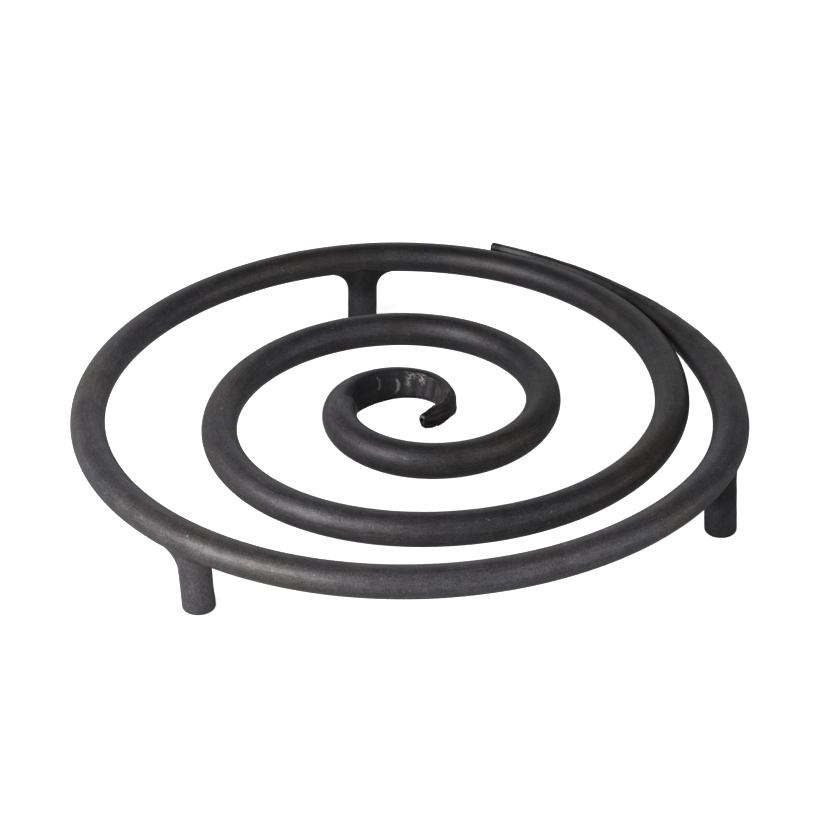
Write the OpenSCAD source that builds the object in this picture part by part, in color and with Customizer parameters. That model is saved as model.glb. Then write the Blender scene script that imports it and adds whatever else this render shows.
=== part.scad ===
// Hand-forged spiral trivet on three short round legs, black iron.
// Millimetres, +Z up, feet on Z = 0, origin under the middle of the whole part.
// The bar winds anticlockwise and outward, seen from above: eye, scroll, round ring, drawn-out tail.

/* [Ring and bar] */
// Outside diameter of the round outer ring.
ring_diameter = 202.4; // [195:0.1:215]
// Width of the bar, seen from above.
bar_width = 10.3; // [9.6:0.1:11]
// Height of the bar in the outer ring, where the hammer flattened it a little.
bar_height = 9; // [8.4:0.1:10]
// Height of the bar in the inner turn.
inner_bar_height = 10.4; // [9.4:0.1:11]
// Height of the bar's centre line above the table.
centre_height = 22; // [20:0.1:26]

/* [Scroll] */
// Radius of the scroll where its first turn starts, at the back.
first_radius = 14.5; // [14:0.1:16]
// Radius of the scroll half a turn further out, at the front.
half_turn_radius = 29.6; // [29:0.1:31]
// Radius of the scroll at the end of its first turn.
second_radius = 47.7; // [46.5:0.1:49.5]
// Radius of the scroll at the end of its second turn, if the ring did not take over.
third_radius = 84.4; // [83.5:0.1:86]
// How far the middle of the scroll lies in front of the middle of the ring.
scroll_forward = 3.4; // [2.6:0.1:4]
// How far it lies to the right.
scroll_right = 0.5; // [-1:0.1:1]
// How far the bar wanders in and out of a true scroll, as bent by hand.
wander = 0.6; // [0:0.1:1]
// Angle along the scroll at which that wandering is furthest out.
wander_peak_angle = 300; // [285:5:315]

/* [Eye] */
// Radius of the small eye that the inner end is curled into.
eye_radius = 7.2; // [7.2:0.1:8]
// How softly the scroll turns into the eye.
eye_softness = 2.2; // [1.6:0.1:3]
// Angle at which the inner end stops.
eye_end_angle = -80; // [-84:1:-60]
// Angle at which the inner end starts to be drawn down.
eye_taper_angle = 150; // [120:5:170]
// Width of the inner end at its tip.
eye_tip_width = 4.2; // [3.4:0.1:5]
// Height of the inner end at its tip.
eye_tip_height = 4.5; // [3.6:0.1:6]
// Distance from the centre line to the face that the anvil's edge left on the inner side.
eye_flat = 3.7; // [3.2:0.1:4.6]

/* [Tail] */
// Angle at which the bar leaves the round ring.
ring_leave_angle = 1047; // [1044:1:1052]
// Angle at which the tail lies against the turn inside it.
tail_meets_angle = 1126; // [1122:1:1130]
// Angle at which the tail starts to be drawn down.
tail_taper_angle = 1104; // [1100:1:1110]
// Angle at which the tail stops.
tail_end_angle = 1155; // [1150:1:1158]
// Width of the tail at its tip.
tail_tip_width = 3; // [2.4:0.1:4]
// Height of the tail at its tip.
tail_tip_height = 2.8; // [2.4:0.1:4]
// How far the tip of the tail rises above the centre line.
tail_rise = 2.4; // [0:0.1:3]
// Gap that the scale leaves between the tail and the turn inside it.
tail_gap = 0.4; // [0.25:0.05:0.6]

/* [Legs] */
// Diameter of the round leg stock.
leg_diameter = 9.4; // [8.6:0.1:9.6]
// Angle of the front left leg on the ring.
front_left_angle = 950.2; // [945:0.1:955]
// Angle of the right leg on the ring.
right_angle = 1056.3; // [1053:0.1:1058]
// Angle of the rear leg, where the scroll becomes the ring.
rear_angle = 819.2; // [816:0.1:825]
// How far the front left foot stands from under the top of its leg, to the right and back.
front_left_lean = [1.1, 0]; // [-1.5:0.1:1.5]
// The same for the right foot.
right_lean = [0.1, -1.2]; // [-1.5:0.1:1.5]
// The same for the rear foot.
rear_lean = [-0.7, 0]; // [-1.5:0.1:1.5]
// Width of the edge broken off the foot of each leg.
foot_edge = 0.7; // [0.4:0.1:1]

/* [Welds] */
// Thickness of the weld's toe on the leg.
weld_toe = 0.3; // [0.3:0.1:0.6]
// How far the front left weld reaches along the bar, on its left side.
front_left_fillet = 8; // [5:0.5:9]
// How far the right weld reaches along the bar, on its rear side.
right_fillet = 4; // [2:0.5:6]
// How far the rear weld reaches along the bar, on both sides.
rear_fillet = 5.5; // [3:0.5:7]

/* [Parts] */
// Piece to draw.

/* [Hidden] */
$fn = 64;
iron = [0.2, 0.2, 0.2];
weld_metal = [0.23, 0.22, 0.22];
ring_radius = (ring_diameter - bar_width) / 2;
sides = 20;
step = 5;
blend_from_angle = 722;
blend_to_angle = 842;
wander_turn_angle = 148;
fade_angle = 40;

function clamp01(x) = min(1, max(0, x));
function ease(x) = let (u = clamp01(x)) u * u * (3 - 2 * u);
function mix(a, b, s) = a * (1 - s) + b * s;

// Radius of the scroll: a smooth growth through the four stated radii, never under the eye's.
half = (half_turn_radius - first_radius) * 2;
grow = (second_radius - half_turn_radius) * 2 - half;
ease_off = ((third_radius - second_radius - (second_radius - half_turn_radius) * 2) / 1.5 - grow) / 2;
function open_radius(a) = let (t = (a - 90) / 360)
    first_radius + t * (half + (t - 0.5) * (grow + (t - 1) * ease_off));
function scroll_radius(a) = let (d = open_radius(a) - eye_radius)
    eye_radius + (d + sqrt(d * d + pow(eye_softness, 2))) / 2
    + wander * ease((a - 130) / fade_angle) * cos((a - wander_peak_angle) * 360 / wander_turn_angle);
function scroll_point(a) = scroll_radius(a) * [cos(a), sin(a)] + [scroll_right, -scroll_forward];
function ring_point(a) = ring_radius * [cos(a), sin(a)];
function coil_point(a) = let (s = ease((a - blend_from_angle) / (blend_to_angle - blend_from_angle)))
    mix(scroll_point(a), ring_point(a), s);

function turned(p, t) = [p[0] * cos(t) - p[1] * sin(t), p[0] * sin(t) + p[1] * cos(t)];
function outward(p, q) = let (d = q - p) [d[1], -d[0]] / norm(d);
function coil_normal(a) = outward(coil_point(a - 1), coil_point(a + 1));

// The tail: out of the ring, then along the outside of the turn inside it.
function tail_down(a) = clamp01((a - tail_taper_angle) / (tail_end_angle - tail_taper_angle));
function eye_down(a) = clamp01((eye_taper_angle - a) / (eye_taper_angle - eye_end_angle));
function lap_point(a) = coil_point(a - 360)
    + coil_normal(a - 360) * (bar_width / 2 + tail_gap + width_at(a) / 2);
function path_point(a) = let (s = ease((a - ring_leave_angle) / (tail_meets_angle - ring_leave_angle)))
    s == 0 ? coil_point(a) : mix(coil_point(a), lap_point(a), s);
function path_normal(a) = outward(path_point(a - 1), path_point(a + 1));

function width_at(a) = a > 600 ? mix(bar_width, tail_tip_width, pow(tail_down(a), 0.55))
    : mix(bar_width, eye_tip_width, eye_down(a));
function turn_height(a) = mix(inner_bar_height, bar_height, clamp01((a - 270) / 600));
function height_at(a) = a > 600 ? mix(turn_height(a), tail_tip_height, tail_down(a))
    : mix(turn_height(a), eye_tip_height, pow(eye_down(a), 1.2));
function rise_at(a) = tail_rise * pow(tail_down(a), 1.5);
function flat_at(a) = mix(bar_width, eye_flat, ease((185 - a) / 20));

// One ring of the swept bar, k = its size against the full section.
function section(a, k) = let (p = path_point(a), n = path_normal(a), w = width_at(a) / 2 * k,
        h = height_at(a) / 2 * k, z = centre_height + rise_at(a), f = flat_at(a) * k)
    [for (j = [0 : sides - 1]) let (x = max(-f, w * cos(j * 360 / sides)))
        [p[0] + n[0] * x + shift[0], p[1] + n[1] * x + shift[1], z + h * sin(j * 360 / sides)]];

// How the two ends of the bar round off: degrees back from the end, and share of the section there.
eye_round = [[0, 0.5], [1.5, 0.75], [4, 0.93], [7, 1]];
tail_round = [[2, 1], [0.6, 0.85], [0, 0.5]];
first_station = ceil((eye_end_angle + 8) / step) * step;
last_station = floor((tail_end_angle - 4) / step) * step;
stations = [for (a = [first_station : step : last_station]) a];

// Extents of the bar, so that the origin lies under the middle of the part.
edge = [for (a = stations) path_point(a) + path_normal(a) * width_at(a) / 2];
edge_x = [for (p = edge) p[0]];
edge_y = [for (p = edge) p[1]];
shift = -[max(edge_x) + min(edge_x), max(edge_y) + min(edge_y)] / 2;

function shell(rings) = let (n = sides, last = len(rings) - 1) [
    [for (r = rings) for (p = r) p],
    concat([[for (j = [n - 1 : -1 : 0]) j]],
        [for (i = [0 : last - 1]) for (j = [0 : n - 1]) let (k = (j + 1) % n, a = i * n, b = a + n)
            each [[a + j, a + k, b + k], [a + j, b + k, b + j]]],
        [[for (j = [0 : n - 1]) last * n + j]])];

module solid(rings) {
    s = shell(rings);
    polyhedron(points = s[0], faces = s[1], convexity = 8);
}

// The stretch of bar around one leg, with the same facets as the whole bar.
module bar_stretch(a) {
    first = floor(a / step) * step;
    solid([for (i = [-3 : 4]) section(first + i * step, 1)]);
}

module spiral_bar() {
    color(iron)
    solid(concat(
        [for (t = eye_round) section(eye_end_angle + t[0], t[1])],
        [for (a = stations) section(a, 1)],
        [for (t = tail_round) section(tail_end_angle - t[0], t[1])]));
}

function leg_top(a) = let (p = path_point(a)) [p[0] + shift[0], p[1] + shift[1], centre_height];

// Round stock from below the table to the bar's centre line, leaning so that its foot stands off by lean.
module stock(a, lean, d) {
    len = norm([lean[0], lean[1], centre_height]);
    translate(leg_top(a)) rotate([0, 0, atan2(lean[1], lean[0])])
    rotate([0, -atan(norm(lean) / centre_height), 0]) translate([0, 0, -len - 0.4]) {
        cylinder(h = foot_edge, d1 = d - 2 * foot_edge, d2 = d);
        translate([0, 0, foot_edge]) cylinder(h = len - foot_edge - 0.6, d = d);
    }
}

module leg(a, lean) {
    color(iron)
    difference() {
        stock(a, lean, leg_diameter);
        bar_stretch(a);
        translate([leg_top(a)[0] - 15, leg_top(a)[1] - 15, -10]) cube([30, 30, 10]);
    }
}

// Weld fillet: a collar on the leg that reaches out along the bar, by before and after the leg.
module weld(a, lean, before, after) {
    levels = 8;
    low = bar_height / 2 + max(before, after) * 0.9 + 0.8;
    high = bar_height * 0.13;
    near = leg_diameter / 2 + weld_toe;
    p0 = path_point(a);
    r0 = norm(p0);
    rings = [for (i = [0 : levels + 1]) let (
            u = clamp01(i / levels),
            z = i > levels ? -high : -low + (low - bar_height / 2) * u,
            flare = pow(1 - sqrt(1 - pow(u, 2)), 1.25),
            back = near + (before - weld_toe) * flare,
            ahead = near + (after - weld_toe) * flare,
            side = mix(near, min(near, bar_width / 2 * 0.95), u),
            q0 = -lean * z / centre_height)
        [for (j = [0 : sides - 1]) let (
                f = j * 360 / sides,
                turn = (cos(f) > 0 ? ahead : back) * cos(f) / r0 * 180 / PI,
                q = turned(p0, turn) * (1 + side * sin(f) / r0))
            [q[0] + shift[0] + q0[0], q[1] + shift[1] + q0[1], centre_height + z]]];
    color(weld_metal)
    difference() {
        solid(rings);
        stock(a, lean, leg_diameter);
        bar_stretch(a);
    }
}

module leg_front_left() { leg(front_left_angle, front_left_lean); }
module leg_right() { leg(right_angle, right_lean); }
module leg_rear() { leg(rear_angle, rear_lean); }
module weld_front_left() { weld(front_left_angle, front_left_lean, front_left_fillet, weld_toe); }
module weld_right() { weld(right_angle, right_lean, right_fillet / 3, right_fillet); }
module weld_rear() { weld(rear_angle, rear_lean, rear_fillet, rear_fillet); }

spiral_bar();
leg_front_left();
leg_right();
leg_rear();
weld_front_left();
weld_right();
weld_rear();
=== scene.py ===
"""Looks of a hand-forged spiral trivet: one black iron bar wound into a ring, on three welded legs."""

from functools import partial
from math import atan2, cos, degrees, hypot, pi, radians, sin, sqrt, tan

import bpy
from bpy.props import FloatProperty, FloatVectorProperty, IntProperty, PointerProperty
from mathutils import Matrix, Vector, noise


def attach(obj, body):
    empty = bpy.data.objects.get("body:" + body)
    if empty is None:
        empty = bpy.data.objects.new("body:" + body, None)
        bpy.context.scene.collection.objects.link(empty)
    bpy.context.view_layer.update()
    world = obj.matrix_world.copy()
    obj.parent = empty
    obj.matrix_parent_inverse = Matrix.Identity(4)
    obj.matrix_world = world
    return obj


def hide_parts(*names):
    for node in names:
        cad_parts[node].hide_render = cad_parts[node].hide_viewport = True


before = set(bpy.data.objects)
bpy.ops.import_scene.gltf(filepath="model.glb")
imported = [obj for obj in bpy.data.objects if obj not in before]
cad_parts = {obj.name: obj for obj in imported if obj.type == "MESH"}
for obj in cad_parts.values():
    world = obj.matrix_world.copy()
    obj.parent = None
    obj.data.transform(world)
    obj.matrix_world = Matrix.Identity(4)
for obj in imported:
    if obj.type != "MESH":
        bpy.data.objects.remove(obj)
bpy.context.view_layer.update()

bl_info = {
    "name": "Forged Spiral Trivet",
    "version": (1, 0, 0),
    "blender": (4, 5, 0),
    "location": "3D View > Sidebar > Trivet",
    "description": "Builds a forged spiral trivet, its finishes and its studio",
    "category": "Add Mesh",
}

MM = 0.001
UP = Vector((0, 0, 1))
# A quarter round in six steps, for worn edges.
QUARTER = [radians(15 * i) for i in range(7)]


# ---------------------------------------------------------------- small sums

def clamp(x, low=0.0, high=1.0):
    return min(high, max(low, x))


def ease(x):
    """From 0 to 1 as x goes from 0 to 1, with a soft start and end."""
    u = clamp(x)
    return u * u * (3 - 2 * u)


def ramp(a, start, end):
    """From 0 to 1 as a goes from start to end, either way round."""
    return ease((a - start) / (end - start))


def mix(a, b, share):
    """The value that lies that share of the way from a to b."""
    return a * (1 - share) + b * share


def linear(hex_colour):
    """An sRGB hex colour as the linear RGBA that Blender's sockets take."""
    parts = [int(hex_colour[i:i + 2], 16) / 255 for i in (1, 3, 5)]
    return [p / 12.92 if p <= 0.04045 else ((p + 0.055) / 1.055) ** 2.4 for p in parts] + [1.0]


def length(name, mm, text):
    """A length that the user can change, given in millimetres."""
    return FloatProperty(name=name, description=text, default=mm * MM, unit="LENGTH", precision=5)


def angle(name, turn, text):
    """An angle that the user can change, given in degrees."""
    return FloatProperty(name=name, description=text, default=radians(turn), subtype="ANGLE")


def colour(name, hex_colour, text):
    """A colour that the user can change."""
    return FloatVectorProperty(name=name, description=text, default=linear(hex_colour),
                               size=4, min=0, max=1, subtype="COLOR")


# ---------------------------------------------------------------- sizes and colours

class TrivetBarSizes(bpy.types.PropertyGroup):
    """The forged bar: ring, scroll, eye and tail."""
    ring_diameter: length("Ring diameter", 202.4, "Outside diameter of the round outer ring")
    bar_width: length("Bar width", 10.3, "Width of the bar, seen from above")
    bar_height: length("Bar height", 9, "Height of the bar in the outer ring")
    inner_bar_height: length("Inner bar height", 10.4, "Height of the bar in the inner turn")
    centre_height: length("Centre height", 22, "Height of the bar's centre line above the table")
    first_radius: length("First radius", 14.5, "Radius of the scroll where its first turn starts")
    half_turn_radius: length("Half turn radius", 29.6, "Radius of the scroll half a turn further out")
    second_radius: length("Second radius", 47.7, "Radius at the end of the scroll's first turn")
    third_radius: length("Third radius", 84.4, "Radius that the scroll's second turn heads for")
    scroll_forward: length("Scroll forward", 3.4, "How far the scroll's middle lies in front of the ring's")
    scroll_right: length("Scroll right", 0.5, "How far the scroll's middle lies to the right of the ring's")
    wander: length("Wander", 0.6, "How far the bar wanders in and out of a true scroll")
    wander_peak: angle("Wander peak", 300, "Angle at which that wandering is furthest out")
    ring_starts: angle("Ring starts", 722, "Angle at which the scroll starts to turn into the ring")
    ring_round: angle("Ring is round", 842, "Angle from which the ring is round")
    eye_radius: length("Eye radius", 7.2, "Radius of the small eye at the inner end")
    eye_softness: length("Eye softness", 2.2, "How softly the scroll turns into the eye")
    eye_end: angle("Eye end", -76, "Angle at which the inner end stops")
    eye_straight: angle("Eye straight", -48, "Angle from which the last of the inner end runs straight")
    eye_taper: angle("Eye taper", 150, "Angle at which the inner end starts to be drawn down")
    eye_tip_width: length("Eye tip width", 4.2, "Width of the inner end at its tip")
    eye_tip_height: length("Eye tip height", 4.5, "Height of the inner end at its tip")
    eye_flat: length("Eye flat", 2.9, "Distance from the centre line to the eye's hammered inner face")
    eye_lean: angle("Eye lean", 20, "How far that face leans back from upright")
    tail_leaves: angle("Tail leaves", 1047, "Angle at which the bar leaves the round ring")
    tail_meets: angle("Tail meets", 1126, "Angle at which the tail lies against the turn inside it")
    tail_taper: angle("Tail taper", 1104, "Angle at which the tail starts to be drawn down")
    tail_end: angle("Tail end", 1155, "Angle at which the tail stops")
    tail_tip_width: length("Tail tip width", 3, "Width of the tail at its tip")
    tail_tip_height: length("Tail tip height", 3.5, "Height of the tail at its tip")
    tail_rise: length("Tail rise", 2.6, "How far the tail's tip rises above the centre line")
    tail_gap: length("Tail gap", 0.05, "Gap between the tail and the turn inside it")
    sides: IntProperty(name="Sides", description="Faces round the bar", default=56, min=16, max=64)
    spacing: length("Spacing", 0.75, "Distance between the rings of faces along the bar")
    hammer_depth: length("Hammer depth", 0.22, "Depth of the hammer's marks where the bar is drawn out")
    hammer_size: length("Hammer size", 7, "Width of one hammer mark")
    waviness: length("Waviness", 0.12, "How far the skin of the bar rises and falls between heats")
    fold_depth: length("Fold depth", 2.6, "Depth of the creases along the drawn-out tip of the eye")
    seed: IntProperty(name="Seed", description="Picks another set of hammer marks", default=4)


class TrivetLegSizes(bpy.types.PropertyGroup):
    """The round legs and the welds that hold them."""
    diameter: length("Leg diameter", 9.4, "Diameter of the round leg stock")
    foot_edge: length("Foot edge", 0.9, "Radius that wear has put on the edge of each foot")
    front_left: angle("Front left leg", 950, "Angle of the front left leg along the bar")
    right: angle("Right leg", 1056.3, "Angle of the right leg along the bar")
    rear: angle("Rear leg", 819.2, "Angle of the rear leg along the bar")
    unevenness: length("Unevenness", 0.09, "How far the leg stock and the welds are from smooth")


class TrivetFinish(bpy.types.PropertyGroup):
    """Colours and roughness of the iron."""
    iron: colour("Iron", "#1d1d1e", "Blackened iron under wax")
    # This colour also carries painted light: the iron runs towards it where the polish layer says light
    # falls.
    iron_worn_and_lit: colour("Thin iron", "#5b5959", "Blackened iron where the black is thin")
    rust: colour("Rust", "#3e3135", "Dull brown of old rust under the black")
    warm: colour("Brown drift", "#fff9f3", "Tint where the heat left the black brown")
    cool: colour("Blue drift", "#ebecff", "Tint where the heat left the black blue")
    bright: colour("Bright iron", "#c4bfbb", "Bare iron on rubbed ridges")
    roughness: FloatProperty(name="Roughness", description="Roughness of the waxed black skin",
                             default=0.46, min=0, max=1, subtype="FACTOR")


class TrivetStage(bpy.types.PropertyGroup):
    """Floor, lights and camera."""
    floor: colour("Floor", "#f4f4f3", "Colour of the floor")
    bounce: colour("Bounce", "#c1c1c0", "Colour of the board under the floor that throws light back up")
    power: FloatProperty(name="Power", description="Power of all the soft lights together",
                         default=21.8, min=0, unit="POWER")
    glow: FloatProperty(name="Floor glow", description="How far the floor is lit from behind its own board",
                        default=0.9, min=0)
    backdrop: FloatProperty(name="Backdrop", description="Brightness of the pale backdrop behind the trivet",
                            default=1.0, min=0, subtype="FACTOR")
    camera_distance: length("Camera distance", 900, "Distance from the camera to the ring's middle")
    camera_height: angle("Camera height", 30.11, "Angle from which the camera looks down")
    camera_roll: angle("Camera roll", -1.24, "Angle by which the camera is out of level")
    lens: FloatProperty(name="Lens", description="Focal length in millimetres", default=133.3)


# ---------------------------------------------------------------- the bar's path

# Angle from one swing of the scroll's wandering to the next.
WANDER_TURN = 148
# Where the bar strays outwards, and where it is wider: angle, how far to either side, and millimetres.
STRAYS = ((505, 50, -0.15), (585, 50, 0.3), (675, 40, 0.3), (790, 60, 0.35), (990, 45, 0.3))
UPSETS = ((260, 60, 0.4), (410, 60, 0.2), (610, 110, 0.3), (960, 60, 0.3), (1025, 50, 0.3))


def local(places, a):
    """What the places near a add up to there, in metres."""
    return sum(by * MM * ease(1 - abs(a - at) / either_side) for at, either_side, by in places)


class BarPath:
    """Centre line and section of the bar. A place on it is the angle wound from the eye, in degrees."""

    def __init__(self, sizes):
        self.s = sizes
        self.ring_radius = (sizes.ring_diameter - sizes.bar_width) / 2
        # Divided differences of the radii at 0, 0.5, 1 and 2 turns, for the smooth curve through them.
        self.half = (sizes.half_turn_radius - sizes.first_radius) * 2
        second_half = (sizes.second_radius - sizes.half_turn_radius) * 2
        self.grow = second_half - self.half
        rest = (sizes.third_radius - sizes.second_radius - second_half) / 1.5
        self.ease_off = (rest - self.grow) / 2
        self.eye_end = degrees(sizes.eye_end)
        self.tail_end = degrees(sizes.tail_end)
        self.middle = Vector((0, 0, 0))
        self.middle = -self.box_middle()

    def box_middle(self):
        """The middle of the bar's outline, short of both tips, which the frame puts above its origin."""
        first = int(self.eye_end // 5 + 3) * 5
        edge = [self.point(a) + self.outward(a) * self.width(a) / 2
                for a in range(first, int(self.tail_end) - 4, 5)]
        return Vector([(max(p[i] for p in edge) + min(p[i] for p in edge)) / 2 for i in (0, 1)] + [0])

    def scroll(self, a):
        """A spiral that grows smoothly through the stated radii, wanders a little and ends in the eye."""
        straight = degrees(self.s.eye_straight)
        if a < straight:
            last = self.scroll(straight)
            return last + (last - self.scroll(straight + 1)) * (straight - a)
        t = (a - 90) / 360
        opened = self.s.first_radius + t * (self.half + (t - 0.5) * (self.grow + (t - 1) * self.ease_off))
        past_eye = opened - self.s.eye_radius
        radius = self.s.eye_radius + (past_eye + hypot(past_eye, self.s.eye_softness)) / 2
        wave = cos(radians((a - degrees(self.s.wander_peak)) * 360 / WANDER_TURN))
        radius += self.s.wander * ramp(a, 130, 170) * wave
        turn = radians(a)
        return Vector((radius * cos(turn) + self.s.scroll_right,
                       radius * sin(turn) - self.s.scroll_forward, 0))

    def coil(self, a):
        """The scroll, and then the round ring."""
        starts, is_round = degrees(self.s.ring_starts), degrees(self.s.ring_round)
        spoke = Vector((cos(radians(a)), sin(radians(a)), 0))
        bent = mix(self.scroll(a), spoke * self.ring_radius, ramp(a, starts, is_round))
        return bent + spoke * local(STRAYS, a)

    def lap(self, a):
        """The tail's own line, along the outside of the turn inside it."""
        d = self.coil(a - 359) - self.coil(a - 361)
        out = d.cross(UP).normalized()
        return self.coil(a - 360) + out * (self.s.bar_width / 2 + self.s.tail_gap + self.width(a) / 2)

    def point(self, a):
        """The centre line, seen from above."""
        share = ramp(a, degrees(self.s.tail_leaves), degrees(self.s.tail_meets))
        flat = mix(self.coil(a), self.lap(a), share) if share else self.coil(a)
        return flat + self.middle

    def outward(self, a):
        """The level direction across the bar, away from the eye."""
        return (self.point(a + 1) - self.point(a - 1)).cross(UP).normalized()

    def tail_down(self, a):
        """How far the tail is drawn down, from 0 to 1."""
        taper = degrees(self.s.tail_taper)
        return clamp((a - taper) / (self.tail_end - taper))

    def eye_down(self, a):
        """How far the inner end is drawn down, from 0 to 1."""
        taper = degrees(self.s.eye_taper)
        return clamp((taper - a) / (taper - self.eye_end))

    def width(self, a):
        """Width across the bar: the eye is drawn down evenly, the tail fast at first."""
        drawn = mix(self.s.bar_width, self.s.eye_tip_width, self.eye_down(a))
        return mix(drawn, self.s.tail_tip_width, self.tail_down(a) ** 0.55) + local(UPSETS, a)

    def height(self, a):
        """Height of the bar, which falls slowly from the inner turn to the outer ring."""
        turn = mix(self.s.inner_bar_height, self.s.bar_height, clamp((a - 270) / 600))
        drawn = mix(turn, self.s.eye_tip_height, self.eye_down(a) ** 1.2)
        return mix(drawn, self.s.tail_tip_height, self.tail_down(a))

    def centre(self, a):
        """The centre line at its height above the table."""
        rise = self.s.tail_rise * self.tail_down(a) ** 3
        return self.point(a) + UP * (self.s.centre_height + rise)

    def step(self, a, distance):
        """The angle that lies that distance further along the bar."""
        return a + distance / (self.point(a + 0.5) - self.point(a - 0.5)).length


# ---------------------------------------------------------------- nodes and meshes

def add_node(tree, kind, inputs=None, **settings):
    """Adds a node, with its settings, and fills or links its inputs. Returns its first output."""
    node = tree.nodes.new(kind)
    for name, value in settings.items():
        setattr(node, name, value)
    for name, value in (inputs or {}).items():
        if isinstance(value, bpy.types.NodeSocket):
            tree.links.new(value, node.inputs[name])
        else:
            node.inputs[name].default_value = value
    shown = [s for s in node.outputs if s.enabled]
    return shown[0] if shown else node


def finish_piece(piece, nodes, material):
    """Hands a finished mesh object over to the frame."""
    if material.name not in [m.name for m in piece.data.materials if m]:
        piece.data.materials.append(material)
    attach(piece, "root")
    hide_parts(*nodes)


def ring_mesh(name, rings, closed_loop=False):
    """A closed skin over rings of as many points each. The last ring joins the first, or both are capped."""
    sides, count = len(rings[0]), len(rings)
    points = [p for ring in rings for p in ring]
    faces = []
    for i in range(count if closed_loop else count - 1):
        a, b = i * sides, (i + 1) % count * sides
        for j in range(sides):
            k = (j + 1) % sides
            faces.append((a + j, a + k, b + k, b + j))
    if not closed_loop:
        faces.append(tuple(range(sides - 1, -1, -1)))
        faces.append(tuple(range(len(points) - sides, len(points))))
    mesh = bpy.data.meshes.new(name)
    mesh.from_pydata(points, [], faces)
    mesh.shade_smooth()
    piece = bpy.data.objects.new(name, mesh)
    bpy.context.scene.collection.objects.link(piece)
    return piece


def volume(mesh):
    """Signed volume of a closed mesh: above nought when its faces point outwards."""
    mesh.calc_loop_triangles()
    corners = [mesh.vertices[i].co for t in mesh.loop_triangles for i in t.vertices]
    return sum(a.dot(b.cross(c)) for a, b, c in zip(corners[::3], corners[1::3], corners[2::3])) / 6


def face_outwards(mesh):
    if volume(mesh) < 0:
        mesh.flip_normals()


# ---------------------------------------------------------------- finishes

# Patterns in the iron's skin: size in millimetres, detail, roughness and number of each one, the stretch
# of it that counts, and what that stretch becomes.
PATTERNS = {
    "drifts of brown and blue": (30, 3, 0.5, 1, (0.38, 0.62), (0, 1)),
    "specks where the brush caught the scale": (0.5, 2, 0.6, 5, (0.35, 0.65), (0.7, 1.34)),
    "brush marks": (0.7, 2, 0.5, 2, (0.3, 0.7), (0.8, 1.2)),
    "mottling where the scale came away": (3, 2, 0.5, 13, (0.35, 0.65), (0.88, 1.12)),
    "scuffs": (0.9, 3, 0.65, 9, (0.6, 0.68), (0, 0.42)),
    "patches of scuffs": (8, 2, 0.5, 11, (0.48, 0.6), (0, 1)),
    "stains of old rust": (12, 5, 0.5, 3, (0.52, 0.72), (0, 0.5)),
    "spread of the crinkles": (3, 1, 0.5, 3, (0.38, 0.6), (0.25, 1)),
}


def pattern_amounts(node, place, spoke, along):
    """How much there is of each pattern at a place on the iron."""
    # The bar's skin unrolled, for brush marks 0.7 mm wide and 10 mm long.
    round_bar = node("ShaderNodeVectorMath", {0: spoke, "Scale": 5 * MM}, operation="SCALE")
    lengthwise = node("ShaderNodeMath", {0: along, 1: 0.07}, operation="MULTIPLY")
    lengthwise = node("ShaderNodeCombineXYZ", {"Z": lengthwise})
    unrolled = node("ShaderNodeVectorMath", {0: round_bar, 1: lengthwise}, operation="ADD")
    amount = {}
    for what, (size, detail, roughness, number, (low, high), (least, most)) in PATTERNS.items():
        laid_over = unrolled if what == "brush marks" else place
        pattern = node("ShaderNodeTexNoise", {"Vector": laid_over, "W": number, "Scale": 1 / (size * MM),
                                              "Detail": detail, "Roughness": roughness},
                       noise_dimensions="4D")
        amount[what] = node("ShaderNodeMapRange", {"Value": pattern, "From Min": low, "From Max": high,
                                                   "To Min": least, "To Max": most})
    return amount


def black_skin(node, finish, tone, place, polish_and_painted_light, amount):
    """Colour of the blackened iron, where it isn't rubbed bare, with the painted light that the polish layer
    carries.
    """
    # Black, thinner where brush and hands have worn it and in clouds 25 mm across, lighter still with painted
    # light where the polish layer runs high, then tinted.
    cloud = node("ShaderNodeTexNoise", {"Vector": place, "Scale": 1 / (25 * MM), "Detail": 4.0,
                                        "Roughness": 0.6})
    thin = node("ShaderNodeMapRange", {"Value": cloud, "From Min": 0.35, "From Max": 0.75, "To Min": -0.1,
                                       "To Max": 0.12})
    thin = node("ShaderNodeMath", {0: polish_and_painted_light, 1: thin}, operation="ADD", use_clamp=True)
    black = [c * tone for c in finish.iron[:3]] + [1]
    brushed = [c * tone for c in finish.iron_worn_and_lit[:3]] + [1]
    skin = node("ShaderNodeMix", {"Factor": thin, 6: black, 7: brushed}, data_type="RGBA")
    drift = node("ShaderNodeMix", {"Factor": amount["drifts of brown and blue"], 6: finish.cool,
                                   7: finish.warm}, data_type="RGBA")
    for tint in (drift, amount["specks where the brush caught the scale"], amount["brush marks"],
                 amount["mottling where the scale came away"]):
        skin = node("ShaderNodeMix", {"Factor": 1.0, 6: skin, 7: tint}, data_type="RGBA",
                    blend_type="MULTIPLY")

    # Scuffs down to bright iron where the black is thin. They are partly painted glints, since they gather
    # where the painted light lies. Stains of old rust go anywhere.
    scuff = node("ShaderNodeMath", {0: amount["scuffs"], 1: amount["patches of scuffs"]},
                 operation="MULTIPLY")
    scuff = node("ShaderNodeMath", {0: scuff, 1: polish_and_painted_light}, operation="MULTIPLY")
    skin = node("ShaderNodeMix", {"Factor": scuff, 6: skin, 7: finish.bright}, data_type="RGBA")
    return node("ShaderNodeMix", {"Factor": amount["stains of old rust"], 6: skin, 7: finish.rust},
                data_type="RGBA")


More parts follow.
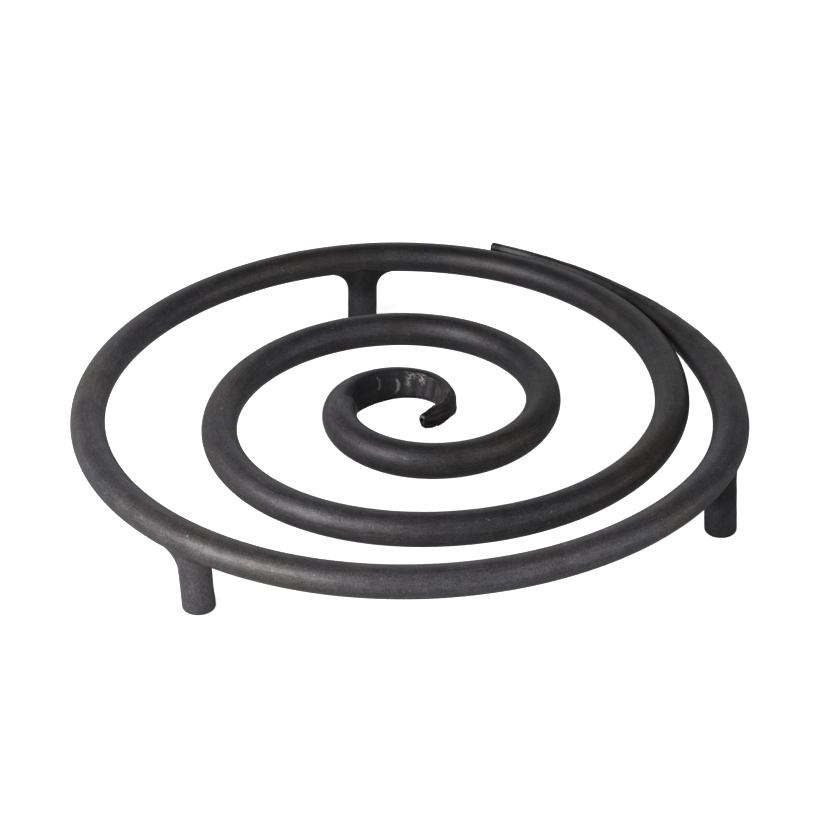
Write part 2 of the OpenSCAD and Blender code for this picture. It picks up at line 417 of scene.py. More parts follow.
def sandy_relief(node, place, grain_here, grain_depth, pits):
    """Sandy grain of 0.55 mm in patches 5 mm across, and pits 1.6 mm apart. Returns grain and bump."""
    grain = node("ShaderNodeTexNoise", {"Vector": place, "Scale": 1 / (0.55 * MM), "Detail": 3.0,
                                        "Roughness": 0.65})
    patch = node("ShaderNodeTexNoise", {"Vector": place, "Scale": 1 / (5 * MM), "Detail": 2.0})
    sandy = node("ShaderNodeMapRange", {"Value": patch, "From Min": 0.35, "From Max": 0.65, "To Min": 0.5})
    sandy = node("ShaderNodeMath", {0: sandy, 1: grain}, operation="MULTIPLY")
    pit = node("ShaderNodeTexVoronoi", {"Vector": place, "Scale": 1 / (1.6 * MM), "Randomness": 1.0})
    hole = node("ShaderNodeMapRange", {"Value": pit, "From Min": 0.12, "From Max": 0.32, "To Min": 1.0,
                                       "To Max": 0.0})
    where = node("ShaderNodeMapRange", {"Value": patch, "From Min": 0.66 - pits * 0.3,
                                        "From Max": 0.72 - pits * 0.3})
    hole = node("ShaderNodeMath", {0: hole, 1: where}, operation="MULTIPLY")
    relief = node("ShaderNodeMath", {0: hole, 1: -0.8, 2: sandy}, operation="MULTIPLY_ADD")

    # Full depth on the scroll, six tenths on the brushed ring, and three tenths on legs and welds.
    depth = node("ShaderNodeMath", {0: grain_here, 1: 0.7, 2: 0.3}, operation="MULTIPLY_ADD")
    return grain, node("ShaderNodeBump", {"Height": relief, "Strength": depth, "Distance": grain_depth})


def rubbed_bare(node, place, worn, crinkled, spread):
    """Share of bare iron: in flecks of 0.6 mm on ridges, and along crinkles 1 mm apart."""
    fleck = node("ShaderNodeTexNoise", {"Vector": place, "Scale": 1 / (0.6 * MM), "Detail": 3.0,
                                        "Roughness": 0.7})

    # A crinkle is the thin line where its cloud passes through the middle of its range.
    crinkle = node("ShaderNodeTexNoise", {"Vector": place, "W": 7.0, "Scale": 1 / (1.0 * MM), "Detail": 3.0},
                   noise_dimensions="4D")
    crinkle = node("ShaderNodeMath", {0: crinkle, 1: 0.5, 2: 0.035}, operation="COMPARE")
    crinkle = node("ShaderNodeMath", {0: crinkle, 1: crinkled}, operation="MULTIPLY")
    crinkle = node("ShaderNodeMath", {0: crinkle, 1: spread}, operation="MULTIPLY")
    bare = node("ShaderNodeMath", {0: worn, 1: crinkle}, operation="MAXIMUM")
    bare = node("ShaderNodeMath", {0: bare, 1: fleck}, operation="MULTIPLY")
    return node("ShaderNodeMapRange", {"Value": bare, "From Min": 0.2, "From Max": 0.62, "To Max": 0.66})


def iron_material(name, finish, grain_depth, pits, tone=1.0, rough=0.0):
    """Forged iron, fire scale brushed down and sealed with wax while warm: a near-black satin skin
    with a fine sandy grain that breaks up the highlights, cloudy tone and small pits."""
    material = bpy.data.materials.new(name)
    material.use_nodes = True
    tree = material.node_tree
    tree.nodes.clear()
    node = partial(add_node, tree)
    place = tree.nodes.new("ShaderNodeTexCoord").outputs["Object"]

    # What the mesh carries. A layer that a piece lacks counts as nought.
    # The polish layer carries thin black and painted light in one.
    polish_and_painted_light, grain_here, worn, crinkled, spoke, along = [
        node("ShaderNodeAttribute", attribute_name=layer)
        for layer in ("polish_and_painted_light", "grain", "worn", "crinkled", "spoke", "along")]

    amount = pattern_amounts(node, place, spoke, along)
    skin = black_skin(node, finish, tone, place, polish_and_painted_light, amount)
    grain, bump = sandy_relief(node, place, grain_here, grain_depth, pits)
    bare = rubbed_bare(node, place, worn, crinkled, amount["spread of the crinkles"])
    skin = node("ShaderNodeMix", {"Factor": bare, 6: skin, 7: finish.bright}, data_type="RGBA")

    # Waxed satin: the grain's tops are a little duller than its hollows.
    satin = node("ShaderNodeMapRange", {"Value": grain, "From Min": 0.3, "From Max": 0.7,
                                        "To Min": finish.roughness + rough - 0.05,
                                        "To Max": finish.roughness + rough + 0.07})
    shader = tree.nodes.new("ShaderNodeBsdfPrincipled")
    tree.links.new(skin, shader.inputs["Base Color"])
    tree.links.new(satin, shader.inputs["Roughness"])
    tree.links.new(bump, shader.inputs["Normal"])
    shader.inputs["Metallic"].default_value = 0.6
    output = tree.nodes.new("ShaderNodeOutputMaterial")
    tree.links.new(shader.outputs["BSDF"], output.inputs["Surface"])
    return material


def floor_material(name, paint, glow):
    """Matt painted board: even, pale and without gloss. A glow from behind it keeps the shadows soft."""
    material = bpy.data.materials.new(name)
    material.use_nodes = True
    shader = material.node_tree.nodes["Principled BSDF"]
    shader.inputs["Base Color"].default_value = paint
    shader.inputs["Roughness"].default_value = 0.9
    shader.inputs["Specular IOR Level"].default_value = 0.1
    shader.inputs["Emission Color"].default_value = paint
    shader.inputs["Emission Strength"].default_value = glow
    return material


# ---------------------------------------------------------------- the bar

def bar_stations(path):
    """Places along the bar, as (angle, inset): each end is a dished face inside a worn round edge."""
    def end(edge, tip, dish):
        """One end, as (distance back from it, inset), for a worn edge, half the tip's width and a dish."""
        hollow = (1, 0.97), (0.92, 0.8), (0.55, 0.6), (0.12, 0.46)
        face = [(dish * deep, tip * share) for deep, share in hollow]
        return face + [(edge * (1 - cos(t)), edge * (1 - sin(t)) + tip * 0.04 * cos(t)) for t in QUARTER]

    sizes = path.s
    eye = end(0.8 * MM, sizes.eye_tip_width / 2, 1.1 * MM)
    tail = end(0.5 * MM, sizes.tail_tip_width / 2, 0.2 * MM)
    stations = [(path.step(path.eye_end, back), inset) for back, inset in eye]
    a = path.step(stations[-1][0], sizes.spacing)
    last = path.step(path.tail_end, -tail[-1][0] - sizes.spacing)
    while a < last:
        stations.append((a, 0.0))
        a = path.step(a, sizes.spacing)
    return stations + [(path.step(path.tail_end, -back), inset) for back, inset in reversed(tail)]


def across(edges, a):
    """How far a lies from the middle of its blow: 0 in the middle, 1 or -1 at the ridges, or None outside."""
    for early, late in zip(edges, edges[1:]):
        if early < a <= late:
            return (a - early) / (late - early) * 2 - 1
    return None


# Ridges between the blows that drew out the eye's inner face.
EYE_INNER = (-84, -30, 8, 38, 66, 90, 111, 133, 178)
# Corners between the blows along the tail's outer face: angle, millimetres from the ring's middle, and how
# flat the blow after it lies, from 0 for round to 1 for straight.
TAIL_CORNERS = ((1078.6, 98.25, 0.2), (1094.6, 96.9, 0.55), (1115.2, 95.35, 0.6), (1121.5, 94.3, 0.5),
                (1133.6, 95.75, 0.6), (1144, 97.3, 0.4), (1158, 100.2, 0))
# Angle at which the bar starts to swell towards the first of them, and how far it swells.
TAIL_SWELLS, SWELL = 1050, 0.35 * MM
# How deep each blow bit into the eye's inner face, and how far its outer side was beaten in.
BLOW_DEPTH = 0.4 * MM
# Distance from the centre line to the eye's inner face before and after its flattest stretch.
EYE_FULL = 3.7 * MM


def inner_face(path, a):
    """Distance from the centre line to the eye's hammered inner face."""
    flat = mix(path.s.eye_flat, EYE_FULL, max(ramp(a, 60, 30), ramp(a, 120, 180)))
    flat = mix(path.s.bar_width, flat, ramp(a, 184, 175))
    place = across(EYE_INNER, a)
    return flat if place is None else flat - BLOW_DEPTH * (1 - place * place)


def outer_swell(path, a):
    """How far the outer side stands proud of the plain section."""
    if a < TAIL_SWELLS:
        return -BLOW_DEPTH * ramp(a, 70, 40)
    edge = path.point(a) - path.middle + path.outward(a) * path.width(a) / 2
    turn = degrees(atan2(edge.y, edge.x)) + 1080
    for (early, low, flat), (late, high, _) in zip(TAIL_CORNERS, TAIL_CORNERS[1:]):
        if early < turn <= late:
            share = (turn - early) / (late - early)
            chord = low * high * sin(radians(late - early)) / (
                low * sin(radians(turn - early)) + high * sin(radians(late - turn)))
            return mix(mix(low, high, share), chord, flat) * MM - edge.length
    return SWELL * ramp(a, TAIL_SWELLS, TAIL_SWELLS + 14)


# How far brushing and handling have thinned the black, from 0 to 1, by the angle along the bar, with painted
# light in the same values: higher on the left of each turn and the front of the outer ring, where the lamps
# fall, and lower towards the back, the right and the tail's tip, where shade falls.
POLISH_AND_PAINTED_LIGHT = ((-84, 0), (-35, 0.1), (8, 0.45), (25, 0.6), (50, 0.4), (80, 0.18), (125, 0.1), (165, 0.65),
          (180, 0.85), (255, 0.36), (390, 0.38), (440, 0.24), (475, 0.4), (505, 0.52), (530, 0.8),
          (560, 0.68), (585, 0.72), (617, 0.62), (650, 0.42), (740, 0.36), (800, 0.25), (845, 0.38),
          (885, 0.97), (905, 1), (930, 0.93), (975, 0.82), (1020, 0.97), (1047, 0.75), (1070, 0.42),
          (1110, 0.22), (1125, 0.12), (1136, 0), (1146, 0), (1150, 0.3), (1152.5, 0.3), (1154, 0))


def between(places, a):
    """The value at a, eased between the places on either side of it."""
    for (early, low), (late, high) in zip(places, places[1:]):
        if a <= late:
            return mix(low, high, ramp(a, early, late))
    return places[-1][1]


def path_object(path):
    """The bar's centre line as a chain of edges, with what the sweep and the finish need at each point."""
    stations = bar_stations(path)
    mesh = bpy.data.meshes.new("bar_line")
    centres = [path.centre(a) for a, inset in stations]
    mesh.from_pydata(centres, [(i, i + 1) for i in range(len(centres) - 1)], [])
    along, points = 0.0, []
    for i, (a, inset) in enumerate(stations):
        along += (centres[i] - centres[i - 1]).length if i else 0
        at_eye = i < len(stations) / 2
        tip = path.s.eye_tip_width if at_eye else path.s.tail_tip_width
        # How far the section has closed in on the middle of an end face, and what is left of it.
        shrink = inset / (tip / 2)
        left = 1 - shrink
        # How far the bar is drawn out to eight sides, and how plain the hammer's marks are on it.
        drawn = max(ease(path.tail_down(a) * 3), ramp(a, 70, 20))
        forged = max(ramp(a, 1060, 1090), ramp(a, 165, 135))
        # The eye's inner face leans back, and creases run along the last of it.
        lean = tan(path.s.eye_lean) * ramp(a, 180, 120) * ramp(a, 20, 50)
        folded = ramp(a, 25, 13) * (0.35 + 0.65 * ramp(a, -72, -52))
        points.append({
            "centre": centres[i],
            "outward": path.outward(a),
            "half_size": (path.width(a) / 2 * left, path.height(a) / 2 * left, lean),
            "faces": (inner_face(path, a) * left, outer_swell(path, a) * left, drawn * 0.85),
            "hammered": forged * left,
            "folded": folded * left,
            "turn": a,
            "rim": ease(shrink * 6) * ease((0.55 - shrink) * 6) if at_eye else 0,
            # The ring was brushed smoother than the scroll.
            "grain": mix(1.0, 0.45, ramp(a, 700, 790)),
            # Thin black and painted light together, from the table above.
            "polish_and_painted_light": between(POLISH_AND_PAINTED_LIGHT, a),
            "along": along,
        })
    for name in points[0]:
        rows = [point[name] for point in points]
        vector = isinstance(rows[0], (tuple, Vector))
        layer = mesh.attributes.new(name, "FLOAT_VECTOR" if vector else "FLOAT", "POINT")
        if vector:
            layer.data.foreach_set("vector", [c for row in rows for c in row])
        else:
            layer.data.foreach_set("value", rows)
    line = bpy.data.objects.new("spiral_bar_forged", mesh)
    bpy.context.scene.collection.objects.link(line)
    return line


def round_profile(node, sides):
    """Round profile. Each point remembers its own spoke, and how far an eight-sided bar would reach there:
    0.955 of the radius at the middle of a face, and a little past the radius at a corner."""
    circle = node("GeometryNodeCurvePrimitiveCircle", {"Resolution": sides, "Radius": 1.0})
    spoke = node("GeometryNodeInputPosition")
    eighth = node("ShaderNodeMath", {0: node("GeometryNodeSplineParameter"), 1: 8.0, 2: 0.5},
                  operation="MULTIPLY_ADD")
    off_face = node("ShaderNodeMath", {0: node("ShaderNodeMath", {0: eighth}, operation="FRACT"), 1: 0.5},
                    operation="SUBTRACT")
    slope = node("ShaderNodeMath", {0: off_face, 1: pi / 4}, operation="MULTIPLY")
    reach = node("ShaderNodeMath", {0: 0.955, 1: node("ShaderNodeMath", {0: slope}, operation="COSINE")},
                 operation="DIVIDE")
    profile = node("GeometryNodeStoreNamedAttribute", {"Geometry": circle, "Name": "spoke", "Value": spoke},
                   data_type="FLOAT_VECTOR")
    return node("GeometryNodeStoreNamedAttribute",
                {"Geometry": profile, "Name": "eight_sided", "Value": reach}, data_type="FLOAT")


def section_offset(node, carried, half, faces, ray):
    """From the centre line to the skin: a round or eight-sided section, cut by the hammered inner face."""
    size = node("ShaderNodeMix", {"Factor": faces.outputs["Z"], 2: 1.0, 3: carried["eight_sided"]})
    wide = node("ShaderNodeMath", {0: ray.outputs["X"], 1: half.outputs["X"]}, operation="MULTIPLY")
    wide = node("ShaderNodeMath", {0: wide, 1: size}, operation="MULTIPLY")
    high = node("ShaderNodeMath", {0: ray.outputs["Y"], 1: half.outputs["Y"]}, operation="MULTIPLY")
    high = node("ShaderNodeMath", {0: high, 1: size}, operation="MULTIPLY")
    inner = node("ShaderNodeMath", {0: high, 1: half.outputs["Z"]}, operation="MULTIPLY")
    inner = node("ShaderNodeMath", {0: inner, 1: faces.outputs["X"]}, operation="SUBTRACT")
    wide = node("ShaderNodeMath", {0: wide, 1: inner}, operation="MAXIMUM")
    outer_side = node("ShaderNodeMath", {0: ray.outputs["X"], 1: 0.0}, operation="MAXIMUM")
    wide = node("ShaderNodeMath", {0: outer_side, 1: faces.outputs["Y"], 2: wide}, operation="MULTIPLY_ADD")
    out = node("ShaderNodeVectorMath", {0: carried["outward"], "Scale": wide}, operation="SCALE")
    lift = node("ShaderNodeCombineXYZ", {"Z": high})
    return node("ShaderNodeVectorMath", {0: out, 1: lift}, operation="ADD")


def forging_marks(node, given, carried, plain, ray):
    """How far the hammer, uneven heats and creases push the skin in or out."""
    # Hammer marks: shallow bowls, sunk at their middles, that meet in proud ridges.
    seed = node("ShaderNodeMath", {0: given["Seed"], 1: 17.3}, operation="MULTIPLY")
    fine = node("ShaderNodeMath", {0: 1.0, 1: given["Hammer Size"]}, operation="DIVIDE")
    bowl = node("ShaderNodeTexVoronoi", {"Vector": plain, "W": seed, "Scale": fine, "Randomness": 0.9},
                voronoi_dimensions="4D")
    bowl = node("ShaderNodeMath", {0: bowl, 1: 2.0}, operation="POWER")
    rim = node("ShaderNodeMath", {0: bowl, 1: 0.3}, operation="SUBTRACT")
    strength = node("ShaderNodeMath", {0: carried["hammered"], 1: given["Hammer Depth"]},
                    operation="MULTIPLY")
    dents = node("ShaderNodeMath", {0: rim, 1: strength}, operation="MULTIPLY")

    # Waviness: swells 16 mm long between heats.
    swell = node("ShaderNodeTexNoise", {"Vector": plain, "W": seed, "Scale": 1 / (16 * MM), "Detail": 2.0},
                 noise_dimensions="4D")
    swell = node("ShaderNodeMath", {0: swell, 1: 0.5}, operation="SUBTRACT")
    swell = node("ShaderNodeMath", {0: swell, 1: given["Waviness"]}, operation="MULTIPLY")
    push = node("ShaderNodeMath", {0: dents, 1: swell}, operation="ADD")

    # Folds: creases that the drawing-out leaves along the tip, about 4 mm long and 0.6 mm wide.
    lengthwise = node("ShaderNodeMath", {0: carried["along"], 1: 60.0}, operation="MULTIPLY")
    unrolled = node("ShaderNodeCombineXYZ", {"X": ray.outputs["X"], "Y": ray.outputs["Y"], "Z": lengthwise})
    crease = node("ShaderNodeTexNoise", {"Vector": unrolled, "W": seed, "Scale": 4.0, "Detail": 3.0},
                  noise_dimensions="4D")
    crease = node("ShaderNodeMath", {0: crease, 1: 0.5}, operation="SUBTRACT")
    deep = node("ShaderNodeMath", {0: carried["folded"], 1: given["Fold Depth"]}, operation="MULTIPLY")
    return node("ShaderNodeMath", {0: crease, 1: deep, 2: push}, operation="MULTIPLY_ADD")


def sweep_tree():
    """Geometry Nodes tree: a forged bar swept along a line that carries its own sizes."""
    tree = bpy.data.node_groups.new("forged_bar_sweep", "GeometryNodeTree")
    tree.interface.new_socket("Geometry", in_out="OUTPUT", socket_type="NodeSocketGeometry")
    for name, kind in (("Line", "NodeSocketGeometry"), ("Sides", "NodeSocketInt"),
                       ("Hammer Depth", "NodeSocketFloat"), ("Hammer Size", "NodeSocketFloat"),
                       ("Waviness", "NodeSocketFloat"), ("Fold Depth", "NodeSocketFloat"),
                       ("Seed", "NodeSocketInt"), ("Material", "NodeSocketMaterial")):
        tree.interface.new_socket(name, in_out="INPUT", socket_type=kind)
    given = tree.nodes.new("NodeGroupInput").outputs
    node = partial(add_node, tree)

    # What the line carries, and what the round profile adds to it.
    carried = {}
    for kind, names in (("FLOAT_VECTOR", ("centre", "outward", "half_size", "faces", "spoke")),
                        ("FLOAT", ("eight_sided", "hammered", "folded", "along"))):
        for name in names:
            carried[name] = node("GeometryNodeInputNamedAttribute", {"Name": name}, data_type=kind)

    # Half is half the width, half the height and the lean. Faces is the inner face, the outer swell and how
    # eight-sided the section is. The ray is the spoke, outwards and up.
    half, faces, ray = [tree.nodes.new("ShaderNodeSeparateXYZ") for _ in range(3)]
    for parts, name in ((half, "half_size"), (faces, "faces"), (ray, "spoke")):
        tree.links.new(carried[name], parts.inputs[0])

    # Sweep the profile along the line, then put every point where its section and the marks want it.
    profile = round_profile(node, given["Sides"])
    curve = node("GeometryNodeMeshToCurve", {"Mesh": given["Line"]})
    skin = node("GeometryNodeCurveToMesh", {"Curve": curve, "Profile Curve": profile, "Fill Caps": True})

    offset = section_offset(node, carried, half, faces, ray)
    plain = node("ShaderNodeVectorMath", {0: carried["centre"], 1: offset}, operation="ADD")
    push = forging_marks(node, given, carried, plain, ray)
    away = node("ShaderNodeVectorMath", {0: offset}, operation="NORMALIZE")
    push = node("ShaderNodeVectorMath", {0: away, "Scale": push}, operation="SCALE")
    final = node("ShaderNodeVectorMath", {0: plain, 1: push}, operation="ADD")
    skin = node("GeometryNodeSetPosition", {"Geometry": skin, "Position": final})

    skin = node("GeometryNodeSetShadeSmooth", {"Geometry": skin, "Shade Smooth": True})
    skin = node("GeometryNodeRealizeInstances", {"Geometry": skin})
    skin = node("GeometryNodeSetMaterial", {"Geometry": skin, "Material": given["Material"]})
    node("NodeGroupOutput", {"Geometry": skin})
    return tree


# Crescent ridges in the eye: angle, height on the inner face from -1 to 1, and how bare each one is.
CRESCENTS = ((134, 0.42, 0.65), (112, 0.12, 1))


def rub_through(mesh):
    """Marks where the black is rubbed through: crescents and a crinkled patch in the eye, and its rim.
    Darkens the eye's inner face beyond the patch with painted shade.
    """
    def read(name, size):
        numbers = [0.0] * (len(mesh.vertices) * size)
        mesh.attributes[name].data.foreach_get("vector" if size == 3 else "value", numbers)
        return numbers

    turns, rims, spokes, polish_and_painted_light = read("turn", 1), read("rim", 1), read("spoke", 3), read("polish_and_painted_light", 1)
    worn, crinkled = [], []
    for i, (a, rim) in enumerate(zip(turns, rims)):
        x, y = spokes[3 * i], spokes[3 * i + 1]
        inside = ease((-x - 0.1) / 0.2)
        ridge = max(bare * ease(1 - abs(a - at + 5 * (1 - ((y - mid) / 0.5) ** 2)) / 4.5)
                    * ease((0.6 - abs(y - mid)) / 0.3) for at, mid, bare in CRESCENTS)
        worn.append(inside * ridge + 0.8 * rim * ease((0.3 - x + y * 0.5) / 0.4))
        # The patch runs from 64 to 108 degrees, and from just under the middle of the face to its top.
        patch = ramp(a, 64, 72) * ramp(a, 108, 94) * ease((y + 0.2) / 0.5) * ease((1 - y) / 0.1)
        crinkled.append(inside * patch)
        # Beyond it the eye's inner face is darker: painted shade in the hollow of the eye.
        painted_shade_in_eye = inside * ramp(a, 108, 118) * ramp(a, 181, 177)
        polish_and_painted_light[i] *= 1 - 0.75 * painted_shade_in_eye
    mesh.attributes["polish_and_painted_light"].data.foreach_set("value", polish_and_painted_light)
    for name, numbers in (("worn", worn), ("crinkled", crinkled)):
        mesh.attributes.new(name, "FLOAT", "POINT").data.foreach_set("value", numbers)


class TRIVET_OT_bar(bpy.types.Operator):
    """Forge the bar: eye, scroll, ring and drawn-out tail in one piece"""
    bl_idname = "trivet.bar"
    bl_label = "Spiral Bar"

    def execute(self, context):
        sizes, finish = context.scene.trivet_bar, context.scene.trivet_finish
        path = BarPath(sizes)
        piece = path_object(path)
        material = iron_material("waxed_forged_iron", finish, grain_depth=0.1 * MM, pits=0.3)
        modifier = piece.modifiers.new("Forged bar", "NODES")
        modifier.node_group = sweep_tree()
        given = {"Sides": sizes.sides, "Hammer Depth": sizes.hammer_depth, "Hammer Size": sizes.hammer_size,
                 "Waviness": sizes.waviness, "Fold Depth": sizes.fold_depth, "Seed": sizes.seed,
                 "Material": material}
        for item in modifier.node_group.interface.items_tree:
            if item.in_out == "INPUT" and item.name in given:
                modifier[item.identifier] = given[item.name]
        context.view_layer.update()
        evaluated = piece.evaluated_get(context.evaluated_depsgraph_get())
        forged = bpy.data.meshes.new_from_object(evaluated)
        if not forged.polygons:
            raise RuntimeError("the bar's nodes made no faces")
        piece.modifiers.remove(modifier)
        piece.data = forged
        rub_through(forged)
        face_outwards(forged)
        finish_piece(piece, ["spiral_bar"], material)
        return {"FINISHED"}


# ---------------------------------------------------------------- legs and welds

def leg_axis(path, a, lean, z):
    """Middle of a leg at height z. Its foot stands off by lean from under its top."""
    high = path.s.centre_height
    return path.point(a) + Vector((lean[0], lean[1], 0)) * MM * (high - z) / high + UP * z


def uneven(point, size, depth):
    """A smooth rise and fall of the skin, of that depth, over bumps of that size."""
    return noise.noise(point / size) * depth


# How thin the black is, from 0 to 1, down each leg and on each weld, with painted light in it: the front left
# leg and weld are lighter, where the lamps fall, and the right and rear legs darker, darkest at their tops
# under the bar, where its shadow falls.
LEG_BLACK_AND_LIGHT = {"front_left": 0.68, "right": 0.14, "rear": 0.2}
WELD_BLACK_AND_LIGHT = {"front_left": 0.65, "right": 0, "rear": 0}


def leg_places(legs):
    """Where each leg stands along the bar, and how far its foot is from under its top, in millimetres."""
    return {"front_left": (legs.front_left, (1.0, 0)), "right": (legs.right, (0.5, -1.2)),
            "rear": (legs.rear, (-0.7, 0))}


def thin_black_and_painted_light(mesh, low, high, top):
    """Sets how thin the black is, and the painted light and shade with it: low up to 14 mm under the bar's
    centre line, high from 8 mm under it.
    """
    values = [mix(low, high, ease((v.co.z - top + 14 * MM) / (6 * MM))) for v in mesh.vertices]
    mesh.attributes.new("polish_and_painted_light", "FLOAT", "POINT").data.foreach_set("value", values)


class TRIVET_OT_legs(bpy.types.Operator):
    """Cut the three legs from round stock, with worn feet"""
    bl_idname = "trivet.legs"
    bl_label = "Legs"

    def execute(self, context):
        path, legs = BarPath(context.scene.trivet_bar), context.scene.trivet_legs
        # Round stock that was never forged keeps its rolled scale: a greyer, duller and more pitted black
        # than the bar's.
        material = iron_material("scaled_round_stock", context.scene.trivet_finish,
                                 grain_depth=0.14 * MM, pits=0.7, tone=1.45, rough=0.04)
        radius, edge, top = legs.diameter / 2, legs.foot_edge, path.s.centre_height
        columns, spacing = 48, 0.6 * MM
        # Height and radius of each ring: the flat of the foot, its worn edge and the plain stock.
        rows = [(0.0, radius * share) for share in (0.02, 0.5)]
        rows += [(edge * (1 - cos(t)), radius - edge * (1 - sin(t))) for t in QUARTER]
        count = int((top - edge) / spacing)
        rows += [(mix(edge, top, i / count), radius) for i in range(1, count + 1)]
        for name, (turn, lean) in leg_places(legs).items():
            rings = []
            for z, r in rows:
                ring = []
                for j in range(columns):
                    t = j * 2 * pi / columns
                    spoke = Vector((cos(t), sin(t), 0))
                    spot = leg_axis(path, degrees(turn), lean, z) + spoke * r
                    skin = uneven(spot, 5 * MM, legs.unevenness) + uneven(spot, 1.8 * MM, legs.unevenness / 2)
                    ring.append(spot + spoke * skin * (r / radius))
                rings.append(ring)
            piece = ring_mesh(f"leg_{name}_stock", rings)
            thin_black_and_painted_light(piece.data, LEG_BLACK_AND_LIGHT[name], WELD_BLACK_AND_LIGHT[name], top)
            face_outwards(piece.data)
            finish_piece(piece, [f"leg_{name}"], material)
        return {"FINISHED"}


# How far each weld reaches, in millimetres: along the bar before and after its leg, out to its sides, and
# down the leg before and after it.
WELDS = {"front_left": (13.5, 0.9, 1.0, 9.5, 1.2), "right": (1.2, 6.5, 1.2, 2.0, 8),
         "rear": (8.5, 9.0, 1.2, 7, 7.5)}


class TRIVET_OT_welds(bpy.types.Operator):
    """Fill the corners between the legs and the bar with dressed weld"""
    bl_idname = "trivet.welds"
    bl_label = "Welds"

    def execute(self, context):
        path, legs = BarPath(context.scene.trivet_bar), context.scene.trivet_legs
        # Weld metal, filed round and blackened over: a shade between the leg's and the bar's, so that the
        # two run into each other.
        material = iron_material("dressed_weld", context.scene.trivet_finish,
                                 grain_depth=0.12 * MM, pits=0.5, tone=1.1, rough=0.02)
        for name, (turn, lean) in leg_places(legs).items():
            rings = weld_rings(path, legs, degrees(turn), lean, WELDS[name])
            piece = ring_mesh(f"weld_{name}_fillet", rings, closed_loop=True)
            thin_black_and_painted_light(piece.data, WELD_BLACK_AND_LIGHT[name], WELD_BLACK_AND_LIGHT[name], path.s.centre_height)
            face_outwards(piece.data)
            finish_piece(piece, [f"weld_{name}"], material)
        return {"FINISHED"}


def weld_rings(path, legs, a, lean, reach):
    """Rings from the leg, through the fillet, to the underside of the bar, and back inside both."""
    before, after, beside, down_before, down_after = [r * MM for r in reach]
    # The edges lie 0.05 mm inside the leg and the bar, and stop just short of the bar's widest line.
    radius, sunk, short_of_side = legs.diameter / 2, 0.05 * MM, 0.97
    out = path.outward(a)
    forward = UP.cross(out)
    levels, columns = 16, 72
    rings = [[] for _ in range(levels + 3)]
    for j in range(columns):
        t = j * 2 * pi / columns
        share = cos(t) ** 2
        ahead = cos(t) > 0
        long = mix(beside, after if ahead else before, share)
        deep = mix(beside * 2, down_after if ahead else down_before, share)
        spoke = forward * cos(t) + out * sin(t)

        # Where the fillet runs out on the bar, and the bar's slope there.
        b = path.step(a, cos(t) * (radius + long))
        sideways = sin(t) * short_of_side
        half_w, half_h = path.width(b) / 2, path.height(b) / 2
        down = sqrt(1 - sideways * sideways)
        end = path.centre(b) + path.outward(b) * half_w * sideways - UP * half_h * down
        slope = (path.outward(b) * sideways / half_w - UP * down / half_h).normalized()

        # Corner: where the leg's side meets the bar's tangent plane.
        low, high = [leg_axis(path, a, lean, z) + spoke * radius for z in (0, path.s.centre_height)]
        rise = (high - low).normalized()
        corner = low + rise * ((end - low).dot(slope) / rise.dot(slope))
        start = corner - rise * deep
        end -= slope * sunk
        start -= spoke * sunk

        # A curve from the leg to the bar that heads two thirds of the way into the corner at each end.
        p1, p2 = mix(start, corner, 0.66), mix(end, corner, 0.66)
        for i in range(levels + 1):
            u = i / levels
            spot = start * (1 - u) ** 3 + p1 * 3 * u * (1 - u) ** 2 + p2 * 3 * u * u * (1 - u) + end * u ** 3
            skin = uneven(spot, 4 * MM, legs.unevenness) + uneven(spot, 1.7 * MM, legs.unevenness / 2)
            rings[i].append(spot + (spoke - UP).normalized() * (sin(u * pi) * skin))

        # Back down inside the bar and the leg, at half the leg's radius.
        for ring, z in ((levels + 1, path.s.centre_height - 1.5 * MM), (levels + 2, start.z)):
            rings[ring].append(leg_axis(path, a, lean, z) + spoke * radius * 0.5)
    return rings


# ---------------------------------------------------------------- stage

# Lamps by their distance and size in metres: bearing and height in degrees, and share of the power.
LAMPS = {
    (1.3, 0.7): {
        "key": (210, 35, 0.61), "high_left": (203, 50, 0.14), "high_right": (330, 50, 0.09),
        "side": (330, 30, 0.06), "low_front": (290, 8, 0.11), "low_front_right": (330, 10, 0.09),
        "low_right": (0, 10, 0.07), "low_back_right": (60, 10, 0.05), "back": (90, 18, 0.07),
        "low_back_left": (120, 10, 0.05), "low_left": (155, 10, 0.065)},
    (0.45, 0.28): {"near_left": (210, 12, 0.016), "near_front": (240, 12, 0.022)},
}

# How far the lens is off the middle of the picture, as shares of its width.
LENS_SHIFT = -0.0032, -0.0096


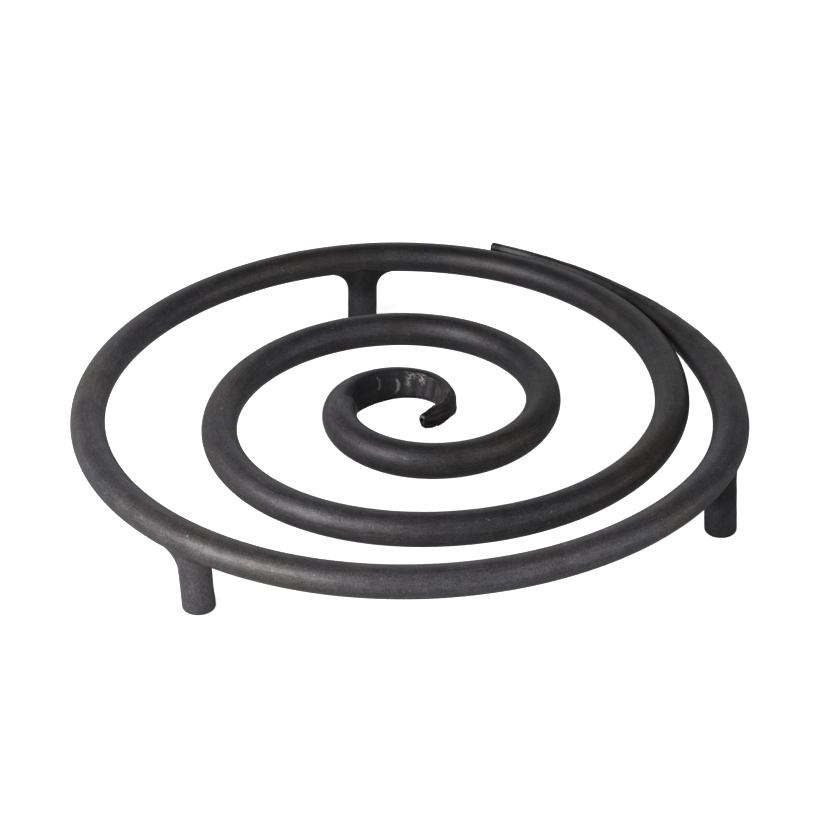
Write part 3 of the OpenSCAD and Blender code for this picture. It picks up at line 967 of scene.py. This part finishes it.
class TRIVET_OT_stage(bpy.types.Operator):
    """Set up the pale floor, the soft lights and the camera"""
    bl_idname = "trivet.stage"
    bl_label = "Studio"

    def execute(self, context):
        scene, stage = context.scene, context.scene.trivet_stage
        path = BarPath(scene.trivet_bar)
        painted = floor_material("matt_painted_board", stage.floor, stage.glow)
        floor = self.board(scene, "floor", 4.0, 0, painted)
        # The floor is seen, and the grey board under it is what throws light back up.
        floor.visible_diffuse = floor.visible_glossy = floor.visible_shadow = False
        grey = floor_material("grey_bounce_board", stage.bounce, 0)
        self.board(scene, "floor_bounce", 1.0, -1 * MM, grey)

        middle = path.middle + UP * scene.trivet_bar.centre_height
        for (distance, size), lamps in LAMPS.items():
            for name, (turn, height, share) in lamps.items():
                self.light(scene, name, middle, stage.power * share, size, distance, turn, height)

        world = scene.world or bpy.data.worlds.new("studio")
        scene.world = world
        world.use_nodes = True
        sky = world.node_tree.nodes["Background"]
        sky.inputs["Color"].default_value = linear("#ffffff")
        sky.inputs["Strength"].default_value = stage.backdrop
        # The backdrop is seen, and the lamps alone light the trivet.
        for ray in ("diffuse", "glossy", "transmission", "scatter"):
            setattr(world.cycles_visibility, ray, False)
        scene.view_settings.view_transform = "Standard"

        data = bpy.data.cameras.new("camera")
        data.lens = stage.lens
        data.shift_x, data.shift_y = LENS_SHIFT
        camera = bpy.data.objects.new("camera", data)
        back = Vector((0, -cos(stage.camera_height), sin(stage.camera_height)))
        turn = (-back).to_track_quat("-Z", "Y").to_matrix().to_4x4()
        camera.matrix_world = (Matrix.Translation(middle + back * stage.camera_distance) @ turn
                               @ Matrix.Rotation(stage.camera_roll, 4, "Z"))
        scene.collection.objects.link(camera)
        scene.camera = camera
        return {"FINISHED"}

    def board(self, scene, name, half, height, material):
        """A flat square board at that height, half as wide as it says, in metres."""
        mesh = bpy.data.meshes.new(name)
        corners = (-half, -half), (half, -half), (half, half), (-half, half)
        mesh.from_pydata([(x, y, height) for x, y in corners], [], [(0, 1, 2, 3)])
        board = bpy.data.objects.new(name, mesh)
        board.data.materials.append(material)
        scene.collection.objects.link(board)
        return board

    def light(self, scene, name, middle, power, size, distance, turn, height):
        """A square soft light that looks at the ring's middle, from that bearing and height in degrees."""
        data = bpy.data.lights.new(name, "AREA")
        data.energy, data.size = power, size
        bearing, height = radians(turn), radians(height)
        away = Vector((cos(bearing) * cos(height), sin(bearing) * cos(height), sin(height)))
        lamp = bpy.data.objects.new(name, data)
        lamp.location = middle + away * distance
        lamp.rotation_euler = away.to_track_quat("Z", "Y").to_euler()
        scene.collection.objects.link(lamp)


class TRIVET_PT_panel(bpy.types.Panel):
    """Sizes, finishes and steps of the trivet"""
    bl_idname = "TRIVET_PT_panel"
    bl_label = "Forged Spiral Trivet"
    bl_space_type = "VIEW_3D"
    bl_region_type = "UI"
    bl_category = "Trivet"

    def draw(self, context):
        for step in STEPS:
            self.layout.operator(step.bl_idname)
        for group in ("trivet_bar", "trivet_legs", "trivet_finish", "trivet_stage"):
            values = getattr(context.scene, group)
            box = self.layout.box()
            for name in values.__annotations__:
                box.prop(values, name)


STEPS = (TRIVET_OT_bar, TRIVET_OT_legs, TRIVET_OT_welds, TRIVET_OT_stage)
GROUPS = {"trivet_bar": TrivetBarSizes, "trivet_legs": TrivetLegSizes,
          "trivet_finish": TrivetFinish, "trivet_stage": TrivetStage}


def register():
    for kind in (*GROUPS.values(), *STEPS, TRIVET_PT_panel):
        bpy.utils.register_class(kind)
    for name, kind in GROUPS.items():
        setattr(bpy.types.Scene, name, PointerProperty(type=kind))


def unregister():
    for name in GROUPS:
        delattr(bpy.types.Scene, name)
    for kind in reversed((*GROUPS.values(), *STEPS, TRIVET_PT_panel)):
        bpy.utils.unregister_class(kind)


def main():
    register()
    bpy.ops.trivet.bar()
    bpy.ops.trivet.legs()
    bpy.ops.trivet.welds()
    bpy.ops.trivet.stage()


if __name__ == "__main__":
    main()
